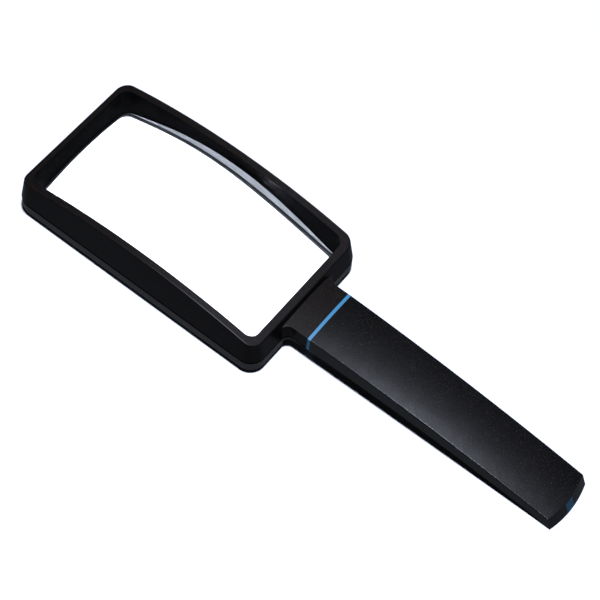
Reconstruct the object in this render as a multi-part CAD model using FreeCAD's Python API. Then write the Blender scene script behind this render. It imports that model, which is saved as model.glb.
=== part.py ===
"""A rectangular reading magnifier: an arched two-part frame round a thick lens, and a flat curved handle.

Millimetres. +X runs from the head to the handle, +Y across it, +Z up. The magnifier lies on its back, on
the rear frame and on the heel of the handle. The pieces are made with x = 0 at the middle of the head, and
written with the origin at the middle of the whole footprint.
"""
import FreeCAD, Part

import math
import os

V = FreeCAD.Vector

# The head.
HEAD_LENGTH = 111.0
HEAD_WIDTH = 61.1
HEAD_CORNER = 6.15
PARTING_Z = 7.65  # where the front and rear frames meet
RIM_INSET = 1.43  # how far the walls lean in from the parting line to the rim
RIM_END_Z = 16.75  # the rim is an arch, lowest at the head's two ends
RIM_MID_Z = 23.65
RIM_ROUND = 0.5  # the rim's outer edge, made of narrow strips
RIM_ROUND_STRIPS = 4
GROOVE_DEPTH = 0.8  # the shadow line below the parting line
GROOVE_HEIGHT = 1.0
FOOT_ROUND = 3.2  # the rear frame's lower edge

# The lens: nominal 100 x 50 mm, about 7.6 dioptres in acrylic.
LENS_LENGTH = 100.6
LENS_WIDTH = 50.6
LENS_CORNER = 3.5
LENS_FRONT_Z = 23.6  # top of the front surface, level with the rim
LENS_FRONT_R = 68.0  # its radius at the middle
LENS_FRONT_FLATTENING = 4.5e-7  # times the fourth power of the distance from the axis
LENS_BACK_Z = 1.0  # lowest point of the back surface
LENS_BACK_R = 1200.0
LENS_PROFILE_STEPS = 12
FLANGE_LOW_Z = 2.4
FLANGE_HIGH_Z = 3.6

# The front frame's opening widens from the lip that holds the lens down to the mouth above the rim.
LIP_GAP = 0.3
LIP_WALL = 2.1
MOUTH_LENGTH = 103.0
MOUTH_WIDTH = 52.8
MOUTH_CORNER = 3.2
MOUTH_Z = 24.0
MOUTH_SHIFT = -0.42  # the rim is a little wider at the handle
LEDGE_OVERLAP = 0.5  # how far the rear frame reaches under the lens
FIT = 0.1  # gap between pieces that slide together

# The neck and the coloured collar.
NECK_HALF_WIDTH = 11.78
NECK_TOP_Z = 13.59
NECK_BOTTOM_Z = 6.71
NECK_FILLET = 3.0
NECK_ROOT_X = 53.0
COLLAR_START_X = 64.17
COLLAR_LENGTH = 1.2
SEAM = 0.08  # hairline each side of the collar
PLATE_ROOT_Z = 5.6  # underside of the rear frame's neck plate at the head
SIDE_LEAN = 0.03  # the sides of neck, collar and handle widen this much for each millimetre down
CROWN = 0.58  # the tops of neck, collar and handle are this much higher along the middle
TOP_ROUND = 0.35  # the edges of those tops

# The handle.
HANDLE_LENGTH = 101.15
HANDLE_END_HALF_WIDTH = 10.57
HANDLE_TOP_SLOPE = 0.88  # fall of the top over the handle's length: this much in proportion to length
HANDLE_TOP_SAG = 7.39  # and this much in proportion to its square
HANDLE_UNDER_SLOPE = 1.93  # the underside starts by rising, so the handle thins towards its end
HEEL_X = 157.5  # the heel curves down from here
HEEL_CONTROL = (162.5, 1.78)
FOOT_X = 167.5  # and is flat on the table from here
END_TOP_X = 166.65  # side corner of the end face at its top edge
END_FOOT_X = 168.8  # and at the table
END_BULGE = 1.45
SHELL_WALL = 1.5
CAVITY_END_X = 153.0
COVER_THICKNESS = 1.3

# The tang that carries the head, and its screws.
TANG_ROOT_X = 58.0
TANG_END_X = 98.0
TANG_CORNER = 3.0
TANG_HALF_WIDTH = 9.0
TANG_LOW_Z = 8.2
TANG_HIGH_Z = 10.7
SCREW_XS = (76.0, 91.0)
SCREW_R = 1.1
SCREW_TIP_Z = 11.8
SCREW_HEAD_R = 2.0
SCREW_HEAD_HEIGHT = 0.9
SCREW_SINK = 0.1  # how far the heads lie below the cover's surface
RECESS_LENGTH = 2.2
RECESS_WIDTH = 0.5
RECESS_DEPTH = 0.6
BOSS_R = 2.6

# The coloured inlay in the handle's end.
INLAY_HALF_WIDTH = 1.9
INLAY_X = 163.0
INLAY_Z = (-1.0, 4.6)  # cut off by the handle's underside, where it shows too

HANDLE_START_X = COLLAR_START_X + COLLAR_LENGTH
HANDLE_END_Z = NECK_TOP_Z - HANDLE_TOP_SLOPE - HANDLE_TOP_SAG
MIDDLE_X = (END_FOOT_X + END_BULGE - HEAD_LENGTH / 2) / 2
HIGH = 40.0  # clear of the top of everything
WIDE = 80.0  # clear of both sides
FAR_X = 180.0  # clear of the handle's end
CLEAR = 2.0  # how far a cutting shape runs past what it cuts
NEAR = 1.0  # how closely an edge must lie to the place where it is looked for
SEW = 0.001  # widest gap closed between the head's surfaces


def outline(length, width, radius, z, shift=0.0):
    """A closed rounded rectangle at height z."""
    x = length / 2 - radius
    y = width / 2 - radius
    corners = ((x, y, 0), (-x, y, 90), (-x, -y, 180), (x, -y, 270))
    arcs = [Part.makeCircle(radius, V(cx + shift, cy, z), V(0, 0, 1), a, a + 90) for cx, cy, a in corners]
    edges = []
    for arc, following in zip(arcs, arcs[1:] + arcs[:1]):
        edges.append(arc)
        edges.append(Part.makeLine(arc.Vertexes[-1].Point, following.Vertexes[0].Point))
    return Part.Wire(edges)


def slab(length, width, radius, low, high, shift=0.0):
    """An upright rounded rectangular block."""
    return Part.Face(outline(length, width, radius, low, shift)).extrude(V(0, 0, high - low))


def cuboid(x, y, z):
    """A block between three (low, high) pairs."""
    return Part.makeBox(x[1] - x[0], y[1] - y[0], z[1] - z[0], V(x[0], y[0], z[0]))


def across(edges):
    """A closed profile in the XZ plane, made into a prism that runs across the whole object."""
    prism = Part.Face(Part.Wire(edges)).extrude(V(0, WIDE, 0))
    prism.translate(V(0, -WIDE / 2, 0))
    return prism


def line(start, end):
    """A straight edge between two (x, z) points of the XZ plane."""
    return Part.makeLine(V(start[0], 0, start[1]), V(end[0], 0, end[1]))


def curve(start, control, end):
    """A parabola in the XZ plane from its two ends and its control point."""
    bezier = Part.BezierCurve()
    bezier.setPoles([V(x, 0, z) for x, z in (start, control, end)])
    return bezier.toShape()


def middle(edge):
    """The point halfway along an edge."""
    return edge.valueAt((edge.FirstParameter + edge.LastParameter) / 2)


def under_arch(drop):
    """Everything below the arch that the rim follows, lowered by drop."""
    half = HEAD_LENGTH / 2 - RIM_INSET
    ends = (V(-half, 0, RIM_END_Z - drop), V(half, 0, RIM_END_Z - drop))
    arc = Part.Arc(ends[0], V(0, 0, RIM_MID_Z - drop), ends[1]).toShape()
    feet = ((half, 0), (-half, 0))
    sides = [line((half, RIM_END_Z - drop), feet[0]), line(*feet), line(feet[1], (-half, RIM_END_Z - drop))]
    return across([arc] + sides)


def arched_face(inset, drop):
    """The face inside the rim's arched outline, moved in from the parting outline and lowered."""
    length = HEAD_LENGTH - 2 * inset
    width = HEAD_WIDTH - 2 * inset
    core = slab(length, width, HEAD_CORNER - inset, PARTING_Z, HIGH).common(under_arch(drop))
    return max(core.Faces, key=lambda face: face.CenterOfMass.z)


def head_block():
    """The head above the parting line: straight generators up to the arched rim, whose edge is rounded."""
    foot = outline(HEAD_LENGTH, HEAD_WIDTH, HEAD_CORNER, PARTING_Z)
    turns = [math.pi / 2 * strip / RIM_ROUND_STRIPS for strip in range(RIM_ROUND_STRIPS + 1)]
    levels = [
        arched_face(RIM_INSET + RIM_ROUND * (1 - math.cos(turn)), RIM_ROUND * (1 - math.sin(turn)))
        for turn in turns
    ]
    faces = [levels[-1], Part.Face(foot)]
    rings = [foot.Edges] + [level.Edges for level in levels]
    for lower, upper in zip(rings, rings[1:]):
        for low in lower:
            here = middle(low)
            above = min(upper, key=lambda e: math.hypot(middle(e).x - here.x, middle(e).y - here.y))
            faces.append(Part.makeRuledSurface(low, above))
    shell = Part.makeShell(faces)
    shell.sewShape(SEW)
    return Part.makeSolid(shell)


def leaning_sides(inset=0.0):
    """The space between the leaning sides of the neck, the collar and the handle, narrowed by inset."""
    taper = (NECK_HALF_WIDTH - HANDLE_END_HALF_WIDTH) / HANDLE_LENGTH
    wires = []
    for z in (-CLEAR, HIGH):
        near = NECK_HALF_WIDTH + SIDE_LEAN * (NECK_TOP_Z - z) - inset
        far = near - taper * (FAR_X - HANDLE_START_X)
        half = [V(NECK_ROOT_X, near, z), V(HANDLE_START_X, near, z), V(FAR_X, far, z)]
        mirrored = [V(p.x, -p.y, p.z) for p in reversed(half)]
        wires.append(Part.makePolygon(half + mirrored + half[:1]))
    return Part.makeLoft(wires, True, True)


def crowned(height, start_x, end_x):
    """The space below a top that follows height(x) lengthwise and is gently arched from side to side."""
    middle_x = (start_x + end_x) / 2
    along = (
        (start_x, height(start_x)),
        (middle_x, 2 * height(middle_x) - (height(start_x) + height(end_x)) / 2),
        (end_x, height(end_x)),
    )
    edge_drop = CROWN * ((WIDE / 2 / NECK_HALF_WIDTH) ** 2 - 1)
    over = ((-WIDE / 2, -edge_drop), (0, 2 * CROWN + edge_drop), (WIDE / 2, -edge_drop))
    patch = Part.BezierSurface()
    patch.increase(2, 2)
    for i, (x, z) in enumerate(along):
        for j, (y, rise) in enumerate(over):
            patch.setPole(i + 1, j + 1, V(x, y, z + rise))
    return patch.toShape().extrude(V(0, 0, -HIGH))


def fillet_at(shape, radius, chosen):
    """Round the edges for which chosen(edge) is true."""
    return shape.makeFillet(radius, [edge for edge in shape.Edges if chosen(edge)])


def is_upright(edge):
    """True for an edge that stands nearly straight up."""
    ends = [vertex.Point for vertex in edge.Vertexes]
    return abs(ends[0].z - ends[-1].z) > 0.95 * edge.Length


def is_neck_corner(edge):
    """True for the upright edges where the sides of the neck meet the head's end wall."""
    here = middle(edge)
    beside_neck = abs(abs(here.y) - NECK_HALF_WIDTH) < NEAR
    return is_upright(edge) and beside_neck and abs(here.x - HEAD_LENGTH / 2) < NEAR


def is_top_side(edge):
    """True for the edges along both sides of the top of the neck, the collar or the handle."""
    here = middle(edge)
    ends = [vertex.Point for vertex in edge.Vertexes]
    runs_along = abs(ends[0].x - ends[-1].x) > NEAR
    beside = here.x > HEAD_LENGTH / 2 - NEAR and abs(here.y) > HANDLE_END_HALF_WIDTH - NEAR
    return runs_along and beside and here.z > handle_top_z(here.x) - NEAR / 2


def opening():
    """The front frame's tapering opening."""
    length = LENS_LENGTH + 2 * LIP_GAP
    width = LENS_WIDTH + 2 * LIP_GAP
    lip_edge = outline(length, width, LENS_CORNER + LIP_GAP, FLANGE_HIGH_Z)
    mouth = outline(MOUTH_LENGTH, MOUTH_WIDTH, MOUTH_CORNER, MOUTH_Z, MOUTH_SHIFT)
    return Part.makeLoft([lip_edge, mouth], True, True)


def round_lens(margin, low, high):
    """A block that follows the lens outline at a distance."""
    return slab(LENS_LENGTH + 2 * margin, LENS_WIDTH + 2 * margin, LENS_CORNER + max(margin, 0), low, high)


def level_crown():
    """The space below the level, gently arched top of the neck and the collar."""
    return crowned(lambda x: NECK_TOP_Z, NECK_ROOT_X, HANDLE_START_X)


def neck_block():
    """The block that joins the head to the collar."""
    end_x = COLLAR_START_X - SEAM
    block = cuboid((NECK_ROOT_X, end_x), (-WIDE / 2, WIDE / 2), (PARTING_Z, HIGH))
    return block.common(leaning_sides()).common(level_crown())


def tang():
    """The tongue that carries the head, clamped inside the handle."""
    span = (TANG_ROOT_X, TANG_END_X)
    block = cuboid(span, (-TANG_HALF_WIDTH, TANG_HALF_WIDTH), (TANG_LOW_Z, TANG_HIGH_Z))
    block = fillet_at(block, TANG_CORNER, lambda e: is_upright(e) and middle(e).x > TANG_END_X - NEAR)
    for x in SCREW_XS:
        block = block.cut(Part.makeCylinder(SCREW_R + FIT, HIGH, V(x, 0, 0)))
    return block


def front_frame():
    """The arched rim and walls round the lens, with the neck and the tang that enters the handle."""
    block = fillet_at(head_block().fuse(neck_block()), NECK_FILLET, is_neck_corner)
    block = fillet_at(block, TOP_ROUND, is_top_side)
    lip = round_lens(LIP_GAP + LIP_WALL, FLANGE_HIGH_Z, PARTING_Z)
    return block.fuse(lip).cut(opening()).fuse(tang()).removeSplitter()


def rear_layer(inset, low, high):
    """One level of the rear frame: the band's outline with the neck's, both moved in by inset."""
    layer = slab(HEAD_LENGTH - 2 * inset, HEAD_WIDTH - 2 * inset, HEAD_CORNER - inset, low, high)
    half = NECK_HALF_WIDTH + SIDE_LEAN * (NECK_TOP_Z - PARTING_Z) - inset
    neck = cuboid((NECK_ROOT_X, COLLAR_START_X - SEAM), (-half, half), (low, high))
    return fillet_at(layer.fuse(neck), NECK_FILLET, is_neck_corner)


def below_neck():
    """The space under the neck plate, which is thickest at the head."""
    corners = (
        (HEAD_LENGTH / 2, PLATE_ROOT_Z),
        (COLLAR_START_X, NECK_BOTTOM_Z),
        (COLLAR_START_X, -CLEAR),
        (HEAD_LENGTH / 2, -CLEAR),
    )
    return across([line(a, b) for a, b in zip(corners, corners[1:] + corners[:1])])


def rear_frame():
    """The band that the magnifier rests on, with the ledge under the lens and the plate under the neck."""
    step_z = PARTING_Z - GROOVE_HEIGHT
    band = slab(HEAD_LENGTH, HEAD_WIDTH, HEAD_CORNER, 0, step_z)
    band = fillet_at(band, FOOT_ROUND, lambda e: middle(e).z < NEAR)
    band = band.fuse(rear_layer(0, FOOT_ROUND, step_z).cut(below_neck()))
    band = band.fuse(rear_layer(GROOVE_DEPTH, step_z, PARTING_Z))
    pocket = round_lens(LIP_GAP + LIP_WALL + FIT, FLANGE_LOW_Z, HIGH)
    return band.cut(pocket).cut(round_lens(-LEDGE_OVERLAP, -CLEAR, HIGH)).removeSplitter()


def lens_front_z(r):
    """Height of the front surface at distance r from the axis."""
    return LENS_FRONT_Z - r**2 / (2 * LENS_FRONT_R) + LENS_FRONT_FLATTENING * r**4


def lens_back_z(r):
    """Height of the back surface at distance r from the axis."""
    return LENS_BACK_Z + r**2 / (2 * LENS_BACK_R)


def turned_lens():
    """The round blank that the lens is cut from."""
    reach = math.hypot(LENS_LENGTH, LENS_WIDTH) / 2 + NEAR
    radii = [reach * step / LENS_PROFILE_STEPS for step in range(LENS_PROFILE_STEPS + 1)]
    front = Part.BSplineCurve()
    front.interpolate([V(r, 0, lens_front_z(r)) for r in radii])
    side = line((reach, lens_front_z(reach)), (reach, lens_back_z(reach)))
    back = curve((reach, lens_back_z(reach)), (reach / 2, LENS_BACK_Z), (0, LENS_BACK_Z))
    axis = line((0, LENS_BACK_Z), (0, LENS_FRONT_Z))
    profile = Part.Face(Part.Wire([front.toShape(), side, back, axis]))
    return profile.revolve(V(0, 0, 0), V(0, 0, 1), 360)


def lens():
    """The thick lens: aspheric front, nearly flat back, flat sides and a thin flange held under the lip."""
    blank = turned_lens()
    body = blank.common(round_lens(0, FLANGE_LOW_Z, HIGH))
    belly = blank.common(round_lens(-LEDGE_OVERLAP - LIP_GAP, 0, HIGH))
    flange = round_lens(LIP_GAP + LIP_WALL, FLANGE_LOW_Z, FLANGE_HIGH_Z)
    return body.fuse(belly).fuse(flange).removeSplitter()


def collar():
    """The coloured ring between the neck and the handle, open in the middle for the tang."""
    span = (COLLAR_START_X, HANDLE_START_X)
    ring = cuboid(span, (-WIDE / 2, WIDE / 2), (NECK_BOTTOM_Z, HIGH)).common(leaning_sides())
    ring = fillet_at(ring.common(level_crown()), TOP_ROUND, is_top_side)
    half = TANG_HALF_WIDTH + FIT
    return ring.cut(cuboid((NECK_ROOT_X, FAR_X), (-half, half), (TANG_LOW_Z - FIT, TANG_HIGH_Z + FIT)))


def handle_top_z(x):
    """Height of the handle's top at its sides."""
    u = (x - HANDLE_START_X) / HANDLE_LENGTH
    return NECK_TOP_Z - HANDLE_TOP_SLOPE * u - HANDLE_TOP_SAG * u**2


def handle_under_z(x):
    """Height of the handle's underside, as far as the heel."""
    u = (x - HANDLE_START_X) / HANDLE_LENGTH
    return NECK_BOTTOM_Z + HANDLE_UNDER_SLOPE * u - HANDLE_TOP_SAG * u**2


def parabola(height, start_x, end_x, shift=0.0):
    """The curve z = height(x) + shift, where height is quadratic."""
    middle_x = (start_x + end_x) / 2
    control_z = 2 * height(middle_x) - (height(start_x) + height(end_x)) / 2
    ends = (start_x, height(start_x) + shift), (end_x, height(end_x) + shift)
    return curve(ends[0], (middle_x, control_z + shift), ends[1])


def end_trim():
    """The space on the head's side of the handle's bulging, outward leaning end face."""
    half = HANDLE_END_HALF_WIDTH
    radius = (half**2 + END_BULGE**2) / (2 * END_BULGE)
    centre_x = END_FOOT_X + END_BULGE - radius
    reach = half + CLEAR
    side_x = centre_x + math.sqrt(radius**2 - reach**2)
    arc = Part.Arc(V(side_x, -reach, 0), V(centre_x + radius, 0, 0), V(side_x, reach, 0)).toShape()
    points = [V(side_x, reach, 0), V(NECK_ROOT_X, reach, 0), V(NECK_ROOT_X, -reach, 0), V(side_x, -reach, 0)]
    plan = Part.Face(Part.Wire([arc] + Part.makePolygon(points).Edges))
    lean = (END_TOP_X - END_FOOT_X) / HANDLE_END_Z
    return plan.extrude(V(lean * HIGH, 0, HIGH))


def handle_solid():
    """The whole handle without its hollow."""
    start_x = HANDLE_START_X + SEAM
    under = parabola(handle_under_z, start_x, HEEL_X)
    heel = curve((HEEL_X, handle_under_z(HEEL_X)), HEEL_CONTROL, (FOOT_X, 0))
    foot = line((FOOT_X, 0), (FAR_X, 0))
    far = line((FAR_X, 0), (FAR_X, HIGH))
    top = line((FAR_X, HIGH), (start_x, HIGH))
    start = line((start_x, HIGH), (start_x, handle_under_z(start_x)))
    solid = across([top, far, foot, heel, under, start]).common(leaning_sides()).common(end_trim())
    solid = solid.common(crowned(handle_top_z, start_x, FAR_X))
    return fillet_at(solid, TOP_ROUND, is_top_side)


def inlay_block(grow):
    """The block that the inlay is cut from, made larger by grow on every side."""
    return cuboid(
        (INLAY_X - grow, FAR_X),
        (-INLAY_HALF_WIDTH - grow, INLAY_HALF_WIDTH + grow),
        (INLAY_Z[0] - grow, INLAY_Z[1] + grow),
    )


def handle_shell():
    """The visible top, sides and heel of the handle, hollow underneath."""
    start_x = HANDLE_START_X - CLEAR
    ceiling = parabola(handle_top_z, start_x, CAVITY_END_X, -SHELL_WALL)
    depth = line((CAVITY_END_X, handle_top_z(CAVITY_END_X) - SHELL_WALL), (CAVITY_END_X, -CLEAR))
    floor = line((CAVITY_END_X, -CLEAR), (start_x, -CLEAR))
    start = line((start_x, -CLEAR), (start_x, handle_top_z(start_x) - SHELL_WALL))
    hollow = across([ceiling, depth, floor, start]).common(leaning_sides(SHELL_WALL))
    shell = handle_solid().cut(hollow)
    for x in SCREW_XS:
        boss = Part.makeCylinder(BOSS_R, handle_top_z(x) - SHELL_WALL / 2 - TANG_HIGH_Z, V(x, 0, TANG_HIGH_Z))
        shell = shell.fuse(boss).cut(Part.makeCylinder(SCREW_R, SCREW_TIP_Z, V(x, 0, 0)))
    return shell.cut(inlay_block(FIT / 2)).removeSplitter()


def handle_cover():
    """The plate that closes the handle from below, with countersunk holes for the screws."""
    start_x = HANDLE_START_X + SEAM
    end_x = CAVITY_END_X - FIT
    low = parabola(handle_under_z, start_x, end_x)
    high = parabola(handle_under_z, start_x, end_x, COVER_THICKNESS)
    ends = [
        line((x, handle_under_z(x)), (x, handle_under_z(x) + COVER_THICKNESS)) for x in (start_x, end_x)
    ]
    cover = across([low, ends[1], high, ends[0]]).common(leaning_sides(SHELL_WALL + FIT))
    for x in SCREW_XS:
        cover = cover.cut(screw_blank(x, CLEAR))
    return cover


def screw_blank(x, below):
    """A countersunk screw's outline, carried on downwards by a cylinder of height below."""
    head_z = handle_under_z(x) + SCREW_SINK
    head = Part.makeCone(SCREW_HEAD_R, SCREW_R, SCREW_HEAD_HEIGHT, V(x, 0, head_z))
    shank = Part.makeCylinder(SCREW_R, SCREW_TIP_Z - head_z, V(x, 0, head_z))
    blank = head.fuse(shank)
    if below:
        blank = blank.fuse(Part.makeCylinder(SCREW_HEAD_R, below, V(x, 0, head_z - below)))
    return blank


def handle_screws():
    """The two screws, with cross recesses in their heads."""
    screws = []
    for x in SCREW_XS:
        low_z = handle_under_z(x)
        recess = (low_z, low_z + SCREW_SINK + RECESS_DEPTH)
        long_side = (-RECESS_LENGTH / 2, RECESS_LENGTH / 2)
        short_side = (-RECESS_WIDTH / 2, RECESS_WIDTH / 2)
        screw = screw_blank(x, 0)
        for along, over in ((long_side, short_side), (short_side, long_side)):
            screw = screw.cut(cuboid((x + along[0], x + along[1]), over, recess))
        screws.append(screw)
    return Part.makeCompound(screws)


def end_inlay():
    """The coloured tab let into the middle of the handle's end."""
    return inlay_block(0).common(handle_solid())


PIECES = {
    "front_frame": front_frame,
    "rear_frame": rear_frame,
    "lens": lens,
    "collar": collar,
    "handle_shell": handle_shell,
    "handle_cover": handle_cover,
    "handle_screws": handle_screws,
    "end_inlay": end_inlay,
}

os.makedirs("parts", exist_ok=True)
for name, make in PIECES.items():
    piece = make()
    piece.translate(V(-MIDDLE_X, 0, 0))
    piece.exportStep(f"parts/{name}.step")
    box = piece.BoundBox
    print(
        f"{name:14} valid {piece.isValid()} solids {len(piece.Solids)} volume {piece.Volume:9.1f}"
        f"  x {box.XMin:7.2f} {box.XMax:7.2f}  y {box.YMin:6.2f} {box.YMax:6.2f}"
        f"  z {box.ZMin:6.2f} {box.ZMax:6.2f}"
    )
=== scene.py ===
"""The looks of a rectangular reading magnifier lying on a pale table."""

import math

import bmesh
import bpy
from mathutils import Matrix, Vector


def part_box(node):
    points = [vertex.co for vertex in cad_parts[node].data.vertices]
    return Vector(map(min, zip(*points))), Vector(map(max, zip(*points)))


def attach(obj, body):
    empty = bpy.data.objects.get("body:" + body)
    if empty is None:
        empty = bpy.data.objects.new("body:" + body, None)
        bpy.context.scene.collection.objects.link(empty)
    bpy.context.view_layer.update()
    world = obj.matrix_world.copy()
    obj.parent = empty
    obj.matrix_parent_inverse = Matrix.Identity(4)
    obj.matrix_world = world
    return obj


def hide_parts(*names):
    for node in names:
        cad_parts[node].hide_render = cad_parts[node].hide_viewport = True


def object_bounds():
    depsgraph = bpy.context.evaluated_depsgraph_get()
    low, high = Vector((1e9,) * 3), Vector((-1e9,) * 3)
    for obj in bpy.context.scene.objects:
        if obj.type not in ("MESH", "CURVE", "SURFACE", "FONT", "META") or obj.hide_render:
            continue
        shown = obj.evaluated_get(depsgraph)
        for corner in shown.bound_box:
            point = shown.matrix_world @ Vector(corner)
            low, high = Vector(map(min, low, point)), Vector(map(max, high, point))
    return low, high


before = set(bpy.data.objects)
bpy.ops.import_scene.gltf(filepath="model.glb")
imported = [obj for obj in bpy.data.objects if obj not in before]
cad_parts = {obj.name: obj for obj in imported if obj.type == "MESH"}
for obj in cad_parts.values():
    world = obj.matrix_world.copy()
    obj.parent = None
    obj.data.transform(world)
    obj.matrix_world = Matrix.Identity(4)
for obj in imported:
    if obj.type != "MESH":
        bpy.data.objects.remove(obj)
cad_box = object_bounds()

MM = 0.001

# The lens surfaces, as in the design. The clear mesh leaves out the hidden flange.
LENS_CORNER = 3.5 * MM
LENS_FLANGE = 2.4 * MM
LENS_FRONT_R = 68.0 * MM
LENS_FRONT_FLATTENING = 4.5e-7 / MM**3  # times the fourth power of the distance from the axis
LENS_BACK_R = 1200.0 * MM
LENS_RINGS = 64
LENS_SPOKES = 320

# Clear acrylic, and what it lets through of a lamp's light.
ACRYLIC_IOR = 1.49
ACRYLIC_TINT = (0.985, 0.995, 0.995, 1)
ACRYLIC_SHADOW = (0.95, 0.96, 0.96, 1)

# The table's brightness as it is seen, and as the object's sides and its gloss meet it.
TABLE_SEEN = 0.86
TABLE_LENT = 0.34
TABLE_MIRRORED = 0.07
TABLE_IN_LENS = 0.105  # as the lens's own sides mirror it
LENS_FROM_WALLS = 0.05  # how little of the table the walls mirror through the lens
TABLE_ROUGH = 0.9
TABLE_SIZE = 6.0

# The moulded plastic's tops, by how far their normals turn up, and the spark-eroded grain there, with
# lighter specks that are painted glints of the grain's glitter.
TOP_FROM = 0.6
TOP_FULL = 0.85
GRAIN_PER_MM = 2.2
GRAIN_DETAIL = 3.0
GRAIN_DEPTH = 0.03 * MM
GLINT_SPECK_FROM = 0.54
GLINT_SPECK_FULL = 0.7

# Its walls are smoother, and painted a bluer tone than the tops: painted bluish light on what faces
# sideways.
WALL_PAINTED_CAST = (0.85, 1.1, 1.4)
WALL_ROUGH = 0.2
WALL_GRAIN = 0.3  # as a share of the grain on the tops

# The gloss is mottled: it varies a little over walls and tops, this much either way.
MOTTLE_PER_MM = 0.12
MOTTLE_DETAIL = 4.0
MOTTLE_ON_WALLS = 0.02
MOTTLE_ON_TOPS = 0.007
FINENESS = 0.6  # how strong the finer detail in grain and mottling is

# Specks of dust.
DUST_PER_MM = 1.1
DUST_FROM = 0.84
DUST_FULL = 0.88
DUST_COVER = 0.3
DUST = (0.12, 0.12, 0.12, 1)

# The ledge under the lens is matt, and painted deep black: painted shade under the lens's edge. It is what
# faces up below this height, in millimetres.
LEDGE_Z = 2.6
LEDGE_FADE = 0.1
LEDGE_PAINTED_SHADE = (0.002, 0.002, 0.002, 1)
LEDGE_ROUGH = 1.0

# The blue plastic's clouds and gloss, and the plating of the screws.
CLOUDS_PER_MM = 0.8
CLOUD_DETAIL = 3.0
BLUE_SHEEN_PER_MM = 5.0
BLUE_ROUGH = (0.34, 0.42)
ZINC_PATCHES_PER_MM = 3.0
ZINC_DARK = (0.42, 0.43, 0.45, 1)
ZINC_LIGHT = (0.6, 0.6, 0.58, 1)
ZINC_SHEEN_PER_MM = 8.0
ZINC_ROUGH = (0.25, 0.4)

# Most of a noise pattern's values lie between these.
NOISE_LOW = 0.3
NOISE_HIGH = 0.7

# The places of a Mix node's factor, its two colours and the colour that comes out.
MIX_FACTOR = 0
MIX_FIRST = 6
MIX_SECOND = 7
MIX_RESULT = 2

# One lamp high above the handle, slightly blue, in a nearly dark room.
LAMP_PLACE = Vector((0.028, -0.045, 0.98))
LAMP_AIM = Vector((0.028, -0.01, 0.0))
LAMP_SIZE = 0.12
LAMP_WATTS = 12.2
LAMP_COLOUR = (1.0, 1.07, 1.26)
ROOM_COLOUR = (0.8, 0.9, 1.0, 1)
ROOM_STRENGTH = 0.006

# The camera looks at a point near the neck, from above the near side of the handle.
CAMERA_AIM = Vector((-8.97, 5.38, 0.0)) * MM
CAMERA_AZIMUTH = math.radians(32.50)
CAMERA_ELEVATION = math.radians(60.11)
CAMERA_ROLL = math.radians(6.39)
CAMERA_DISTANCE = 0.6927
CAMERA_FOCAL = 115.79
CAMERA_SENSOR = 36.0
CAMERA_NEAR = 0.01
CAMERA_FAR = 20


def node(tree, kind, settings=None, **inputs):
    """A shader node. Inputs are numbers, colours or sockets, by their names with _ for a space."""
    made = tree.nodes.new(kind)
    for name, value in (settings or {}).items():
        setattr(made, name, value)
    for name, value in inputs.items():
        socket = made.inputs[name.replace("_", " ")]
        if isinstance(value, bpy.types.NodeSocket):
            tree.links.new(value, socket)
        else:
            socket.default_value = value
    return made


def grey(value):
    """An opaque grey, as a shader colour."""
    return (value, value, value, 1)


def blank_material(name):
    """A new material, with its node tree and its main shader."""
    material = bpy.data.materials.new(name)
    material.use_nodes = True
    return material, material.node_tree, material.node_tree.nodes["Principled BSDF"]


def in_millimetres(tree):
    """The object's own coordinates, in millimetres."""
    place = node(tree, "ShaderNodeTexCoord").outputs["Object"]
    return node(tree, "ShaderNodeVectorMath", {"operation": "SCALE"}, Vector=place, Scale=1 / MM).outputs[0]


def noise(tree, place, scale, detail=2.0, rough=0.5):
    """A noise pattern between 0 and 1, with about scale features to a millimetre."""
    made = node(tree, "ShaderNodeTexNoise", None, Vector=place, Scale=scale, Detail=detail, Roughness=rough)
    return made.outputs["Fac"]


def spread(tree, value, low, high, to_low, to_high):
    """The value, mapped from low and high to to_low and to_high, and held between those two."""
    made = node(
        tree, "ShaderNodeMapRange", None,
        Value=value, From_Min=low, From_Max=high, To_Min=to_low, To_Max=to_high,
    )
    return made.outputs["Result"]


def varied(tree, pattern, low, high):
    """A noise pattern, stretched to run from low to high."""
    return spread(tree, pattern, NOISE_LOW, NOISE_HIGH, low, high)


def blend(tree, factor, first, second):
    """first where factor is 0 and second where it is 1, as colours."""
    made = node(tree, "ShaderNodeMix", {"data_type": "RGBA"})
    for socket, value in ((MIX_FACTOR, factor), (MIX_FIRST, first), (MIX_SECOND, second)):
        if isinstance(value, bpy.types.NodeSocket):
            tree.links.new(value, made.inputs[socket])
        else:
            made.inputs[socket].default_value = value
    return made.outputs[MIX_RESULT]


def on_tops(tree):
    """1 on what faces up, and 0 on walls and undersides."""
    normal = node(tree, "ShaderNodeNewGeometry").outputs["Normal"]
    up = node(tree, "ShaderNodeSeparateXYZ", None, Vector=normal).outputs["Z"]
    return spread(tree, up, TOP_FROM, TOP_FULL, 0.0, 1.0)


def on_ledge(tree, place, top):
    """1 on what faces up close to the table, which is the ledge under the lens where shade is painted, and
    0 elsewhere.
    """
    height = node(tree, "ShaderNodeSeparateXYZ", None, Vector=place).outputs["Z"]
    return spread(tree, height, LEDGE_Z, LEDGE_Z + LEDGE_FADE, top, 0.0)


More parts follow.
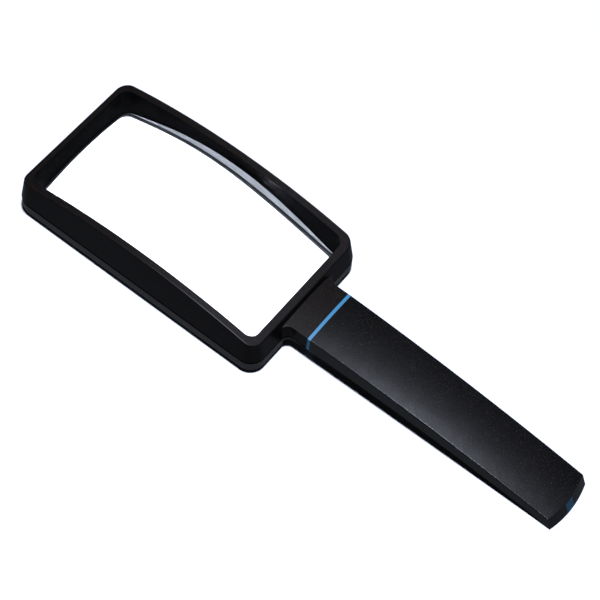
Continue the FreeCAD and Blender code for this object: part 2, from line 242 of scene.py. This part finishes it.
def moulded_black(name, base, light, grain, rough, gloss):
    """Moulded black plastic, a little dusty: grain with lighter specks as painted glints on what faces up,
    smoother walls painted bluer as painted bluish light, and painted shade on the ledge under the lens.
    """
    material, tree, shader = blank_material(name)
    place = in_millimetres(tree)
    top = on_tops(tree)
    ledge = on_ledge(tree, place, top)
    fine = noise(tree, place, GRAIN_PER_MM, GRAIN_DETAIL, FINENESS)
    glint_speck = spread(tree, fine, GLINT_SPECK_FROM, GLINT_SPECK_FULL, 0.0, 1.0)
    dust = spread(tree, noise(tree, place, DUST_PER_MM, 0.0), DUST_FROM, DUST_FULL, 0.0, DUST_COVER)
    # The walls take a bluer copy of the base colour: painted bluish light.
    wall_painted_cast = [part * tint for part, tint in zip(base, WALL_PAINTED_CAST)]
    # Lighter specks on the tops: painted glints of the grain.
    shade = blend(tree, glint_speck, (*base, 1), (*light, 1))
    shade = blend(tree, top, (*wall_painted_cast, 1), shade)
    shade = blend(tree, dust, shade, DUST)
    # Painted shade: the ledge under the lens is painted near black.
    shade = blend(tree, ledge, shade, LEDGE_PAINTED_SHADE)
    tree.links.new(shade, shader.inputs["Base Color"])
    mottled = noise(tree, place, MOTTLE_PER_MM, MOTTLE_DETAIL, FINENESS)
    wall_rough = varied(tree, mottled, WALL_ROUGH - MOTTLE_ON_WALLS, WALL_ROUGH + MOTTLE_ON_WALLS)
    top_rough = varied(tree, mottled, rough - MOTTLE_ON_TOPS, rough + MOTTLE_ON_TOPS)
    worn = spread(tree, top, 0.0, 1.0, wall_rough, top_rough)
    tree.links.new(spread(tree, ledge, 0.0, 1.0, worn, LEDGE_ROUGH), shader.inputs["Roughness"])
    shader.inputs["Specular IOR Level"].default_value = gloss
    strength = spread(tree, top, 0.0, 1.0, grain * WALL_GRAIN, grain)
    bump = node(tree, "ShaderNodeBump", None, Height=fine, Strength=strength, Distance=GRAIN_DEPTH)
    tree.links.new(bump.outputs["Normal"], shader.inputs["Normal"])
    return material


def blue_plastic(name, dark, light):
    """Semi-gloss blue plastic, slightly clouded."""
    material, tree, shader = blank_material(name)
    place = in_millimetres(tree)
    clouds = noise(tree, place, CLOUDS_PER_MM, CLOUD_DETAIL)
    tree.links.new(blend(tree, clouds, (*dark, 1), (*light, 1)), shader.inputs["Base Color"])
    rough = varied(tree, noise(tree, place, BLUE_SHEEN_PER_MM), *BLUE_ROUGH)
    tree.links.new(rough, shader.inputs["Roughness"])
    return material


def zinc():
    """Bright zinc plating, slightly uneven."""
    material, tree, shader = blank_material("screw_zinc")
    place = in_millimetres(tree)
    shade = blend(tree, noise(tree, place, ZINC_PATCHES_PER_MM), ZINC_DARK, ZINC_LIGHT)
    tree.links.new(shade, shader.inputs["Base Color"])
    shader.inputs["Metallic"].default_value = 1.0
    rough = varied(tree, noise(tree, place, ZINC_SHEEN_PER_MM), *ZINC_ROUGH)
    tree.links.new(rough, shader.inputs["Roughness"])
    return material


def clear_acrylic():
    """Clear acrylic, which lets the lamp through to the table and is darker as the walls mirror it."""
    material, tree, shader = blank_material("lens_acrylic")
    shader.inputs["Roughness"].default_value = 0.0
    shader.inputs["IOR"].default_value = ACRYLIC_IOR
    shader.inputs["Transmission Weight"].default_value = 1.0
    path = node(tree, "ShaderNodeLightPath")
    entering = spread(tree, path.outputs["Transmission Depth"], 0.0, 1.0, path.outputs["Glossy Depth"], 0.0)
    tint = blend(tree, entering, ACRYLIC_TINT, grey(LENS_FROM_WALLS))
    tree.links.new(tint, shader.inputs["Base Color"])
    clear = node(tree, "ShaderNodeBsdfTransparent", None, Color=ACRYLIC_SHADOW)
    mix = node(tree, "ShaderNodeMixShader", None, Fac=path.outputs["Is Shadow Ray"])
    tree.links.new(shader.outputs[0], mix.inputs[1])
    tree.links.new(clear.outputs[0], mix.inputs[2])
    tree.links.new(mix.outputs[0], tree.nodes["Material Output"].inputs["Surface"])
    return material


def dress(name, material):
    """Give a CAD node its material."""
    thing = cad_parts[name]
    thing.data.materials.clear()
    thing.data.materials.append(material)


def rounded_rectangle(length, width, corner, count):
    """Points evenly round a rounded rectangle about the origin, each straight before its corner."""
    straight = (length - 2 * corner, width - 2 * corner)
    arc = math.pi / 2 * corner
    total = 2 * sum(straight) + 4 * arc
    half_x = length / 2 - corner
    half_y = width / 2 - corner
    centres = ((half_x, half_y), (-half_x, half_y), (-half_x, -half_y), (half_x, -half_y))
    points = []
    for step in range(count):
        along = total * step / count
        for quarter in range(4):
            run = straight[(quarter + 1) % 2]
            if along <= run + arc:
                break
            along -= run + arc
        centre = Vector(centres[quarter])
        angle = math.pi / 2 * quarter
        if along > run:
            angle += (along - run) / corner
        else:
            centre += Vector((math.sin(angle), -math.cos(angle))) * (run - along)
        points.append(centre + corner * Vector((math.cos(angle), math.sin(angle))))
    return points


def lens_height(r):
    """Height of the front surface at a distance r from the axis, measured from its top."""
    return -(r**2) / (2 * LENS_FRONT_R) + LENS_FRONT_FLATTENING * r**4


def add_points(mesh, edge, height):
    """The points of one lens surface: rings that grow out to the edge, and its middle."""
    rings = []
    for ring in range(1, LENS_RINGS + 1):
        share = ring / LENS_RINGS
        rings.append([mesh.verts.new((*(p * share), height(p.length * share))) for p in edge])
    middle = mesh.verts.new((0, 0, height(0)))
    return middle, rings


def add_surface(mesh, middle, rings, flip):
    """Smooth faces over a surface's points, facing down if flip is true."""
    faces = []
    for i in range(LENS_SPOKES):
        j = (i + 1) % LENS_SPOKES
        faces.append((middle, rings[0][i], rings[0][j]))
        for inner, outer in zip(rings, rings[1:]):
            faces.append((inner[i], outer[i], outer[j], inner[j]))
    for corners in faces:
        mesh.faces.new(corners[::-1] if flip else corners).smooth = True


def add_sides(mesh, front_rim, back_rim):
    """The lens's upright sides, with crisp edges along the front and the back."""
    for i in range(LENS_SPOKES):
        j = (i + 1) % LENS_SPOKES
        mesh.faces.new((back_rim[i], back_rim[j], front_rim[j], front_rim[i])).smooth = True
    for rim in (front_rim, back_rim):
        for i in range(LENS_SPOKES):
            mesh.edges.get((rim[i], rim[(i + 1) % LENS_SPOKES])).smooth = False


def make_lens():
    """The lens with finely divided surfaces: an aspheric front, upright sides and a nearly flat back."""
    low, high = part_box("lens")
    centre = (low + high) / 2
    length = high.x - low.x - 2 * LENS_FLANGE
    width = high.y - low.y - 2 * LENS_FLANGE
    edge = rounded_rectangle(length, width, LENS_CORNER, LENS_SPOKES)
    mesh = bmesh.new()
    front_middle, front_rings = add_points(mesh, edge, lambda r: high.z + lens_height(r))
    back_middle, back_rings = add_points(mesh, edge, lambda r: low.z + r**2 / (2 * LENS_BACK_R))
    add_surface(mesh, front_middle, front_rings, False)
    add_surface(mesh, back_middle, back_rings, True)
    add_sides(mesh, front_rings[-1], back_rings[-1])
    data = bpy.data.meshes.new("lens_clear")
    mesh.to_mesh(data)
    mesh.free()
    lens = bpy.data.objects.new("lens_clear", data)
    bpy.context.scene.collection.objects.link(lens)
    lens.location = (centre.x, centre.y, 0)
    return lens


def make_floor():
    """A pale table, which the camera sees white while it throws little light back at the object."""
    bpy.ops.mesh.primitive_plane_add(size=TABLE_SIZE, location=(0, 0, cad_box[0].z))
    floor = bpy.context.object
    floor.name = "floor"
    material, tree, shader = blank_material("pale_table")
    path = node(tree, "ShaderNodeLightPath")
    shade = blend(tree, path.outputs["Diffuse Depth"], grey(TABLE_SEEN), grey(TABLE_LENT))
    mirrored = blend(tree, path.outputs["Transmission Depth"], grey(TABLE_MIRRORED), grey(TABLE_IN_LENS))
    shade = blend(tree, path.outputs["Glossy Depth"], shade, mirrored)
    tree.links.new(shade, shader.inputs["Base Color"])
    shader.inputs["Roughness"].default_value = TABLE_ROUGH
    floor.data.materials.append(material)


def make_lamp():
    """The round lamp over the table."""
    data = bpy.data.lights.new("key", "AREA")
    data.shape = "DISK"
    data.size = LAMP_SIZE
    data.energy = LAMP_WATTS
    data.color = LAMP_COLOUR
    lamp = bpy.data.objects.new("key", data)
    lamp.location = LAMP_PLACE
    lamp.rotation_euler = (LAMP_AIM - LAMP_PLACE).to_track_quat("-Z", "Y").to_euler()
    bpy.context.scene.collection.objects.link(lamp)


def make_room():
    """The faint light of the room around."""
    world = bpy.data.worlds.new("studio")
    world.use_nodes = True
    background = world.node_tree.nodes["Background"]
    background.inputs["Color"].default_value = ROOM_COLOUR
    background.inputs["Strength"].default_value = ROOM_STRENGTH
    bpy.context.scene.world = world


def make_camera():
    """The photograph's viewpoint, turned a little about its own line of sight."""
    azimuth, elevation, roll = CAMERA_AZIMUTH, CAMERA_ELEVATION, CAMERA_ROLL
    back = Vector((
        math.sin(azimuth) * math.cos(elevation),
        -math.cos(azimuth) * math.cos(elevation),
        math.sin(elevation),
    ))
    level = Vector((math.cos(azimuth), math.sin(azimuth), 0))
    upright = back.cross(level)
    right = math.cos(roll) * level + math.sin(roll) * upright
    up = math.cos(roll) * upright - math.sin(roll) * level
    data = bpy.data.cameras.new("camera")
    data.lens = CAMERA_FOCAL
    data.sensor_width = CAMERA_SENSOR
    data.clip_start = CAMERA_NEAR
    data.clip_end = CAMERA_FAR
    camera = bpy.data.objects.new("camera", data)
    turn = Matrix((right, up, back)).transposed().to_4x4()
    camera.matrix_world = Matrix.Translation(CAMERA_AIM + back * CAMERA_DISTANCE) @ turn
    bpy.context.scene.collection.objects.link(camera)
    bpy.context.scene.camera = camera


dress("front_frame", moulded_black(
    "frame_black",
    base=(0.0056, 0.0040, 0.0034), light=(0.024, 0.020, 0.018), grain=0.6, rough=0.38, gloss=0.13,
))
# The rear frame's base is lighter than the front frame's: painted light from the bright table, which its
# band faces.
dress("rear_frame", moulded_black(
    "rear_black",
    base=(0.030, 0.024, 0.020), light=(0.03, 0.03, 0.03), grain=0.15, rough=0.34, gloss=0.5,
))
dress("handle_shell", moulded_black(
    "handle_grey",
    base=(0.0018, 0.0016, 0.0017), light=(0.019, 0.0172, 0.0175), grain=0.7, rough=0.25, gloss=0.5,
))
dress("handle_cover", moulded_black(
    "cover_black",
    base=(0.006, 0.006, 0.006), light=(0.01, 0.01, 0.01), grain=0.2, rough=0.4, gloss=0.3,
))
dress("collar", blue_plastic("collar_blue", dark=(0.036, 0.185, 0.34), light=(0.046, 0.21, 0.37)))
dress("end_inlay", blue_plastic("inlay_blue", dark=(0.003, 0.055, 0.11), light=(0.005, 0.07, 0.14)))
dress("handle_screws", zinc())

lens = make_lens()
lens.data.materials.append(clear_acrylic())
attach(lens, "root")
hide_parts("lens")

make_floor()
make_lamp()
make_room()
make_camera()
bpy.context.scene.view_settings.view_transform = "Standard"
